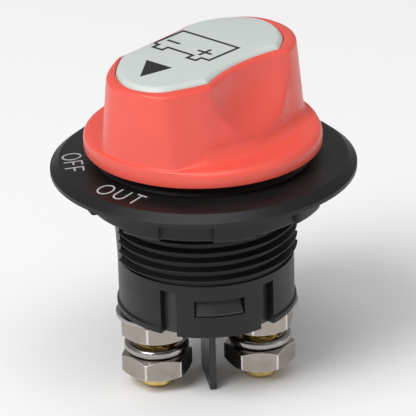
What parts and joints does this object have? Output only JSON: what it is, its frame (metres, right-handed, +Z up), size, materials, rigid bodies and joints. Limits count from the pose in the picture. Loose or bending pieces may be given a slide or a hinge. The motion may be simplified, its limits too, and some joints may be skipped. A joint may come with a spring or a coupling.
{
  "type": "battery switch",
  "caption": "Round panel battery switch with a removable red grip knob, a threaded barrel with ring nut, and M10 terminal studs with nuts and washers below.",
  "frame": {"origin": "centre of the bezel's underside, on the knob's axis, where the panel's face lies", "axes": "+Z up the knob's axis, out of the panel; +X through both terminal studs, towards the right stud"},
  "size_m": [0.076, 0.076, 0.0894],
  "materials": {
    "knob_red": "satin moulded plastic",
    "insert_grey": "fine satin",
    "body_black": "fine moulded satin",
    "rotor_black": "glass-filled nylon, matt",
    "washer_plastic": "natural acetal",
    "brass": "turned, bright",
    "nickel": "nickel-plated, satin",
    "spring_steel": "polished spring steel",
    "steel": "zinc-plated steel",
    "copper": "copper, plain",
    "silver": "silver alloy contact face",
    "seal_rubber": "nitrile"
  },
  "bodies": {
    "switch_body": {"housing": "body_black", "thrust_washer": "washer_plastic", "terminal_base": "body_black", "base_seal": "seal_rubber", "stud_left": "brass", "fixed_contact_left": "silver", "stud_seal_left": "seal_rubber", "flat_washer_left": "steel", "upper_nut_left": "nickel", "stud_right": "brass", "fixed_contact_right": "silver", "stud_seal_right": "seal_rubber", "flat_washer_right": "steel", "upper_nut_right": "nickel"},
    "rotor": {"rotor": "rotor_black", "rotor_seal": "seal_rubber", "detent_ball_a": "steel", "detent_ball_b": "steel", "detent_spring_a": "spring_steel", "detent_spring_b": "spring_steel", "contact_bridge": "copper", "bridge_spring": "spring_steel", "moving_contact_a": "silver", "moving_contact_b": "silver"},
    "knob": {"knob_shell": "knob_red", "knob_insert": "insert_grey", "knob_stem": "rotor_black", "knob_screw": "steel"},
    "panel_nut": {"panel_nut": "body_black"},
    "left_clamp": {"cable_nut_left": "nickel", "lock_washer_left": "spring_steel"},
    "right_clamp": {"cable_nut_right": "nickel", "lock_washer_right": "spring_steel"}
  },
  "joints": [
    {"name": "rotor_turn", "type": "hinge", "parent": "switch_body", "child": "rotor", "pos_m": [0, 0, 0], "axis": [0, 0, 1], "range_deg": [-135, 0]},
    {"name": "knob_lift", "type": "slide", "parent": "rotor", "child": "knob", "axis": [0, 0, 1], "range_m": [0, 0.03]},
    {"name": "panel_nut_travel", "type": "slide", "parent": "switch_body", "child": "panel_nut", "axis": [0, 0, -1], "range_m": [0, 0.015]},
    {"name": "left_clamp_travel", "type": "slide", "parent": "switch_body", "child": "left_clamp", "axis": [0, 0, -1], "range_m": [-0.0012, 0.01]},
    {"name": "right_clamp_travel", "type": "slide", "parent": "switch_body", "child": "right_clamp", "axis": [0, 0, -1], "range_m": [-0.0012, 0.01]}
  ]
}
